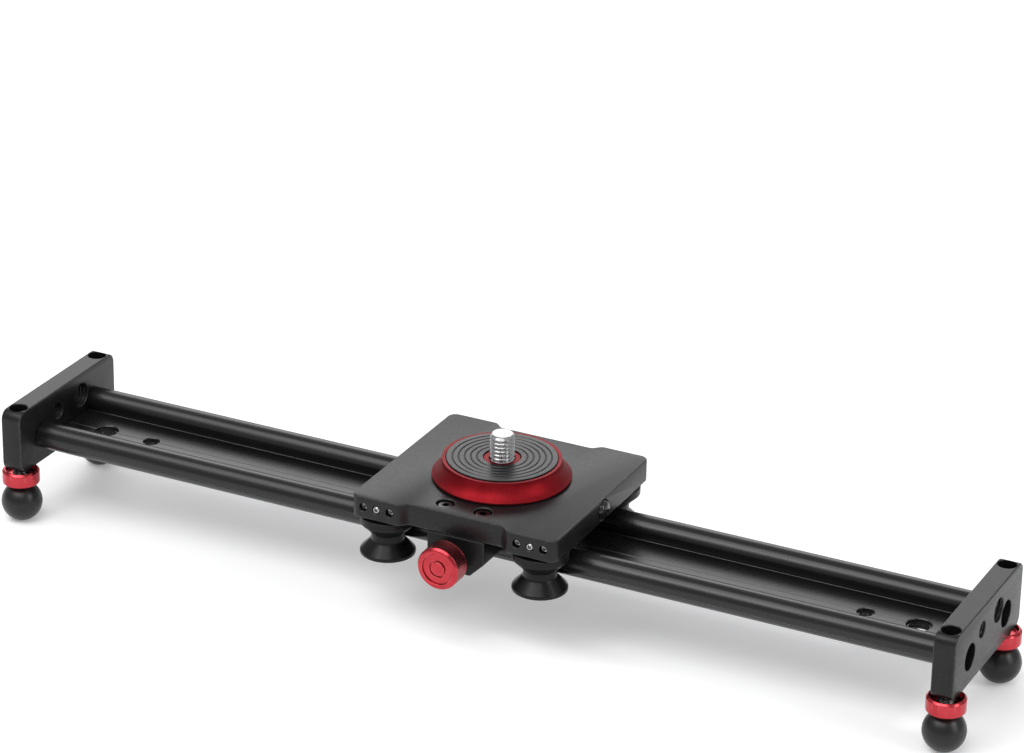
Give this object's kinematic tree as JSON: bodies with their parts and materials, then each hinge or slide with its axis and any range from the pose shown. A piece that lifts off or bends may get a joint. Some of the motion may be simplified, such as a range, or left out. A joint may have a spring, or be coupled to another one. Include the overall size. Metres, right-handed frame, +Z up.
{
  "type": "camera slider",
  "caption": "Camera slider: twin-rod extruded rail between end blocks on ball feet, with a V-roller carriage, brake knob and a threaded head mount with a lock disc.",
  "frame": {"origin": "on the floor under the middle of the rail, midway between the four feet", "axes": "+X along the rail, -Y to the side with the brake knob, +Z up"},
  "size_m": [0.4076, 0.0933, 0.07],
  "materials": {
    "black_anodised": "bead blasted, black anodised",
    "red_anodised": "satin red anodised",
    "black_steel": "black oxide",
    "bright_steel": "bright",
    "black_rubber": "matt",
    "black_plastic": "satin"
  },
  "bodies": {
    "slider": {"track_rail": "black_anodised", "end_block_left": "black_anodised", "end_block_right": "black_anodised", "rail_bolt_front_left": "black_steel", "rail_bolt_back_left": "black_steel", "rail_bolt_front_right": "black_steel", "rail_bolt_back_right": "black_steel"},
    "carriage": {"carriage_plate": "black_anodised", "brake_block": "black_anodised", "clamp_screw_left": "black_steel", "clamp_screw_right": "black_steel", "mount_stud": "bright_steel", "bumper_left": "black_rubber", "bumper_right": "black_rubber", "set_screw_front_left_a": "bright_steel", "set_screw_front_left_b": "bright_steel", "set_screw_front_left_c": "bright_steel", "set_screw_back_left_a": "bright_steel", "set_screw_back_left_b": "bright_steel", "set_screw_back_left_c": "bright_steel", "set_screw_front_right_a": "bright_steel", "set_screw_front_right_b": "bright_steel", "set_screw_front_right_c": "bright_steel", "set_screw_back_right_a": "bright_steel", "set_screw_back_right_b": "bright_steel", "set_screw_back_right_c": "bright_steel", "roller_axle_front_left": "bright_steel", "roller_axle_back_left": "bright_steel", "roller_axle_front_right": "bright_steel", "roller_axle_back_right": "bright_steel", "roller_spacer_front_left": "bright_steel", "roller_spacer_back_left": "bright_steel", "roller_spacer_front_right": "bright_steel", "roller_spacer_back_right": "bright_steel", "roller_bearing_front_left": "bright_steel", "roller_bearing_back_left": "bright_steel", "roller_bearing_front_right": "bright_steel", "roller_bearing_back_right": "bright_steel"},
    "wheel_front_left": {"roller_front_left": "black_plastic"},
    "wheel_back_left": {"roller_back_left": "black_plastic"},
    "wheel_front_right": {"roller_front_right": "black_plastic"},
    "wheel_back_right": {"roller_back_right": "black_plastic"},
    "brake_pusher": {"brake_shoe": "black_plastic"},
    "brake_handle": {"brake_knob": "red_anodised", "brake_screw": "black_steel"},
    "head_pad": {"mount_pad": "black_rubber"},
    "head_lock": {"mount_disc": "red_anodised"},
    "foot_front_left": {"foot_ball_front_left": "black_rubber"},
    "foot_back_left": {"foot_ball_back_left": "black_rubber"},
    "foot_front_right": {"foot_ball_front_right": "black_rubber"},
    "foot_back_right": {"foot_ball_back_right": "black_rubber"},
    "foot_screw_front_left": {"foot_stud_front_left": "black_steel", "foot_collar_front_left": "red_anodised"},
    "foot_screw_back_left": {"foot_stud_back_left": "black_steel", "foot_collar_back_left": "red_anodised"},
    "foot_screw_front_right": {"foot_stud_front_right": "black_steel", "foot_collar_front_right": "red_anodised"},
    "foot_screw_back_right": {"foot_stud_back_right": "black_steel", "foot_collar_back_right": "red_anodised"}
  },
  "joints": [
    {"name": "carriage_travel", "type": "slide", "parent": "slider", "child": "carriage", "axis": [1, 0, 0], "range_m": [-0.1499, 0.1435]},
    {"name": "wheel_front_left_spin", "type": "hinge", "parent": "carriage", "child": "wheel_front_left", "pos_m": [-0.02885, -0.0315, 0.0337], "axis": [0, 0, 1], "continuous": true},
    {"name": "wheel_back_left_spin", "type": "hinge", "parent": "carriage", "child": "wheel_back_left", "pos_m": [-0.02885, 0.0315, 0.0337], "axis": [0, 0, 1], "continuous": true},
    {"name": "wheel_front_right_spin", "type": "hinge", "parent": "carriage", "child": "wheel_front_right", "pos_m": [0.03525, -0.0315, 0.0337], "axis": [0, 0, 1], "continuous": true},
    {"name": "wheel_back_right_spin", "type": "hinge", "parent": "carriage", "child": "wheel_back_right", "pos_m": [0.03525, 0.0315, 0.0337], "axis": [0, 0, 1], "continuous": true},
    {"name": "brake_advance", "type": "slide", "parent": "carriage", "child": "brake_pusher", "axis": [0, 1, 0], "range_m": [0, 0.0006]},
    {"name": "brake_turn", "type": "hinge", "parent": "brake_pusher", "child": "brake_handle", "pos_m": [0.0022, -0.0426, 0.035], "axis": [0, 1, 0], "range_deg": [0, 217]},
    {"name": "head_lock_rise", "type": "slide", "parent": "carriage", "child": "head_pad", "axis": [0, 0, 1], "range_m": [0, 0.0032]},
    {"name": "head_lock_turn", "type": "hinge", "parent": "head_pad", "child": "head_lock", "pos_m": [0.0032, 0, 0.0526], "axis": [0, 0, 1], "range_deg": [0, 727]},
    {"name": "foot_front_left_level", "type": "slide", "parent": "slider", "child": "foot_front_left", "axis": [0, 0, -1], "range_m": [0, 0.005]},
    {"name": "foot_front_left_turn", "type": "hinge", "parent": "foot_front_left", "child": "foot_screw_front_left", "pos_m": [-0.1957, -0.0289, 0.022], "axis": [0, 0, -1], "range_deg": [0, 1802]},
    {"name": "foot_back_left_level", "type": "slide", "parent": "slider", "child": "foot_back_left", "axis": [0, 0, -1], "range_m": [0, 0.005]},
    {"name": "foot_back_left_turn", "type": "hinge", "parent": "foot_back_left", "child": "foot_screw_back_left", "pos_m": [-0.1957, 0.0289, 0.022], "axis": [0, 0, -1], "range_deg": [0, 1802]},
    {"name": "foot_front_right_level", "type": "slide", "parent": "slider", "child": "foot_front_right", "axis": [0, 0, -1], "range_m": [0, 0.005]},
    {"name": "foot_front_right_turn", "type": "hinge", "parent": "foot_front_right", "child": "foot_screw_front_right", "pos_m": [0.1957, -0.0289, 0.022], "axis": [0, 0, -1], "range_deg": [0, 1802]},
    {"name": "foot_back_right_level", "type": "slide", "parent": "slider", "child": "foot_back_right", "axis": [0, 0, -1], "range_m": [0, 0.005]},
    {"name": "foot_back_right_turn", "type": "hinge", "parent": "foot_back_right", "child": "foot_screw_back_right", "pos_m": [0.1957, 0.0289, 0.022], "axis": [0, 0, -1], "range_deg": [0, 1802]}
  ],
  "couplings": [
    {"joint": "wheel_front_left_spin", "follows": "carriage_travel", "rad_per_m": 114.7},
    {"joint": "wheel_back_left_spin", "follows": "carriage_travel", "rad_per_m": -114.7},
    {"joint": "wheel_front_right_spin", "follows": "carriage_travel", "rad_per_m": 114.7},
    {"joint": "wheel_back_right_spin", "follows": "carriage_travel", "rad_per_m": -114.7},
    {"joint": "brake_turn", "follows": "brake_advance", "rad_per_m": 6283.2},
    {"joint": "head_lock_turn", "follows": "head_lock_rise", "rad_per_m": 3957.9},
    {"joint": "foot_front_left_turn", "follows": "foot_front_left_level", "rad_per_m": 6283.2},
    {"joint": "foot_back_left_turn", "follows": "foot_back_left_level", "rad_per_m": 6283.2},
    {"joint": "foot_front_right_turn", "follows": "foot_front_right_level", "rad_per_m": 6283.2},
    {"joint": "foot_back_right_turn", "follows": "foot_back_right_level", "rad_per_m": 6283.2}
  ]
}
